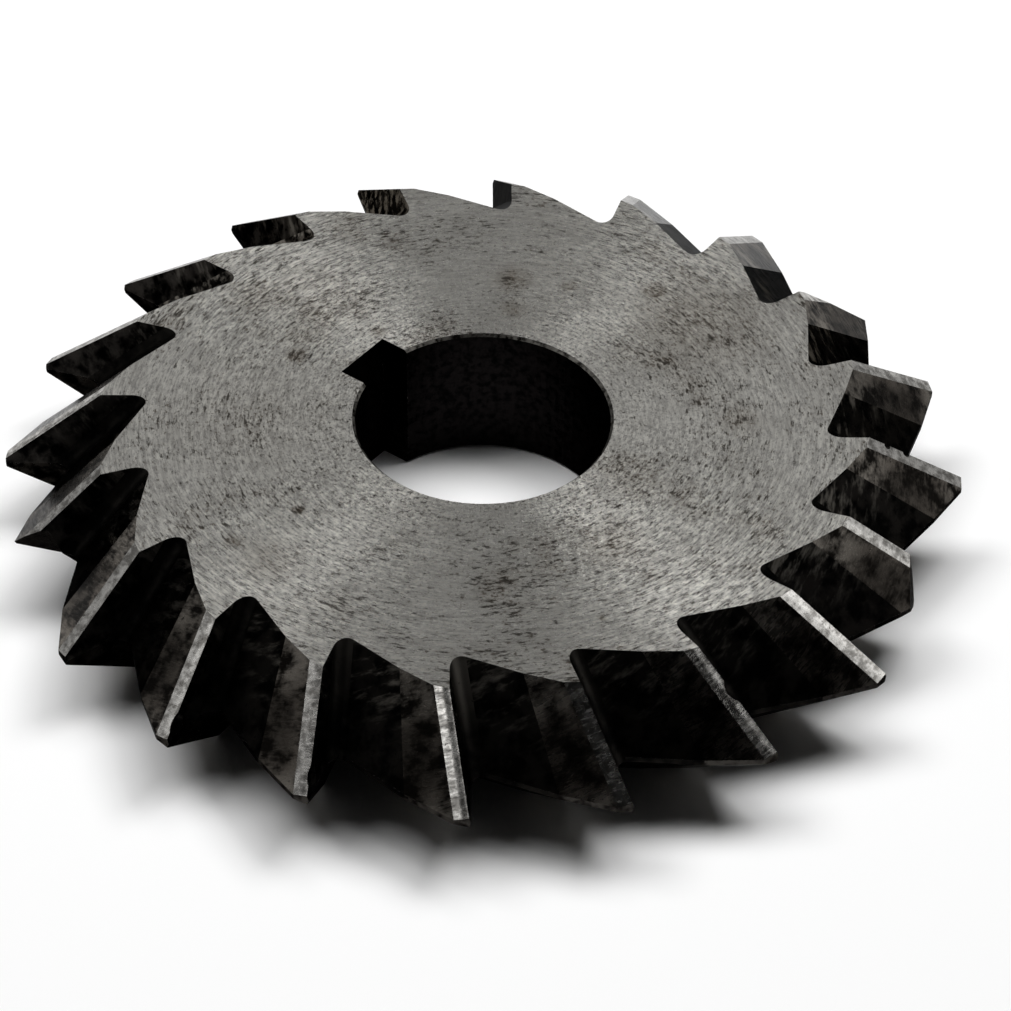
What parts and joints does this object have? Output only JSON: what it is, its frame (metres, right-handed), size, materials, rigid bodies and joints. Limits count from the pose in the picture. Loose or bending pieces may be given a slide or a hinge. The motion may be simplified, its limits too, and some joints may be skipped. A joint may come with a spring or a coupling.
{
  "type": "double angle milling cutter",
  "caption": "Double angle milling cutter with a V-shaped toothed rim, keyed bore and ground faces; some crests are broken off.",
  "frame": {"origin": "centre of the bore on the lower face of the disc, which the part lies on", "axes": "+Z along the bore axis out of the upper face, +Y from the axis through the middle of the keyway"},
  "size_m": [0.102, 0.102, 0.016],
  "materials": {
    "tool_steel": "ground tool steel with fine concentric lines, pits and faint brown stains; dull grey in the gashes"
  },
  "bodies": {
    "root": {"milling_cutter": "tool_steel"}
  },
  "joints": []
}
